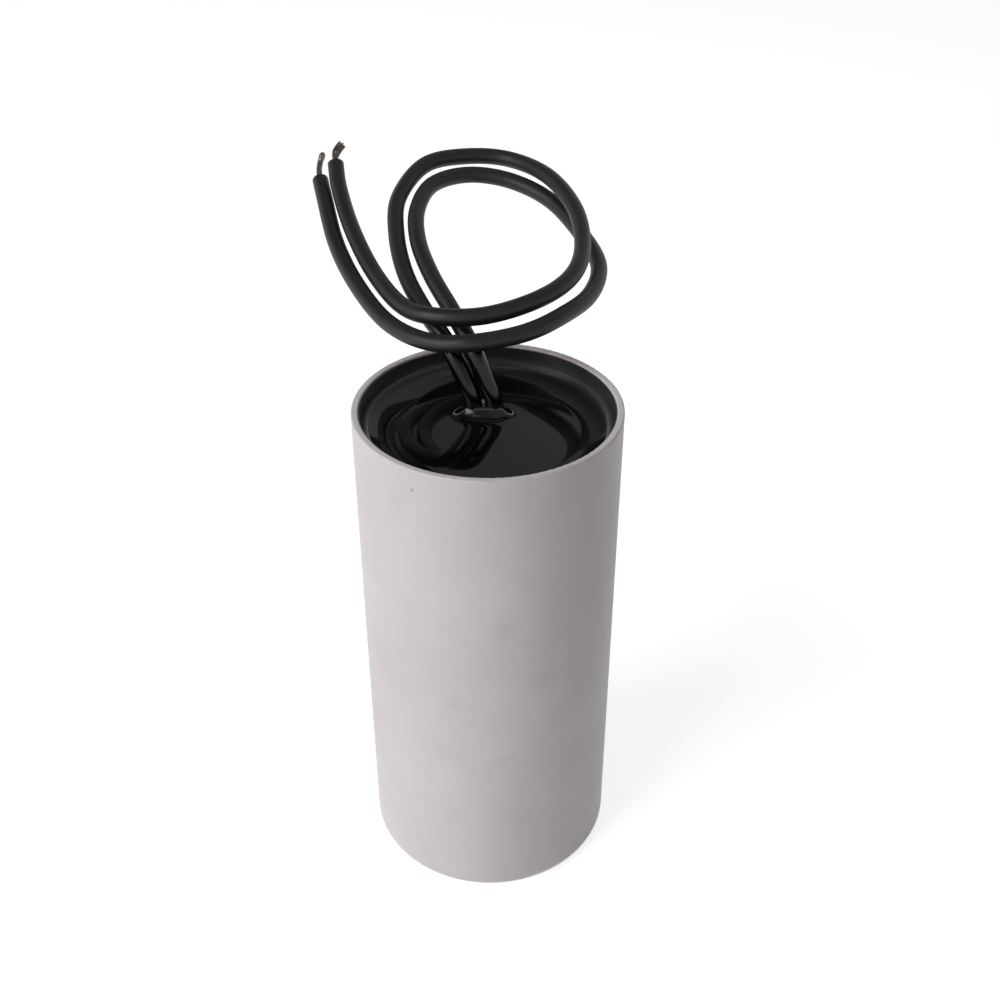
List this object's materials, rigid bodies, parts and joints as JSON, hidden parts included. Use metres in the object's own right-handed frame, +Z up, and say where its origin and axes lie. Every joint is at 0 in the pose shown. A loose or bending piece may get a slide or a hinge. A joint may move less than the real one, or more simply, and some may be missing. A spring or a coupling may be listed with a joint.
{
  "type": "motor run capacitor",
  "caption": "Round white moulded can with a rounded base edge, potted at the top with glossy black resin, and two looped black insulated leads with stripped ends.",
  "frame": {"origin": "centre of the can's base, on the surface that it stands on", "axes": "+Z up along the can's axis, +Y towards the back, where the leads' loop lies, +X to the right"},
  "size_m": [0.0554, 0.0819, 0.1192],
  "materials": {
    "white_moulding": "satin",
    "black_resin": "gloss",
    "metallised_film": "gloss",
    "core_plastic": "matte",
    "sprayed_zinc": "matte",
    "solder": "satin",
    "lead_insulation": "satin",
    "tinned_copper": "satin"
  },
  "bodies": {
    "root": {"can": "white_moulding", "potting_resin": "black_resin", "film_winding": "metallised_film", "winding_core": "core_plastic", "end_spray_top": "sprayed_zinc", "end_spray_bottom": "sprayed_zinc", "solder_joint_top": "solder", "solder_joint_bottom": "solder", "lead_b_core_run": "lead_insulation", "lead_a": "lead_insulation", "lead_b": "lead_insulation", "lead_a_tip": "tinned_copper", "lead_b_tip": "tinned_copper"}
  },
  "joints": []
}
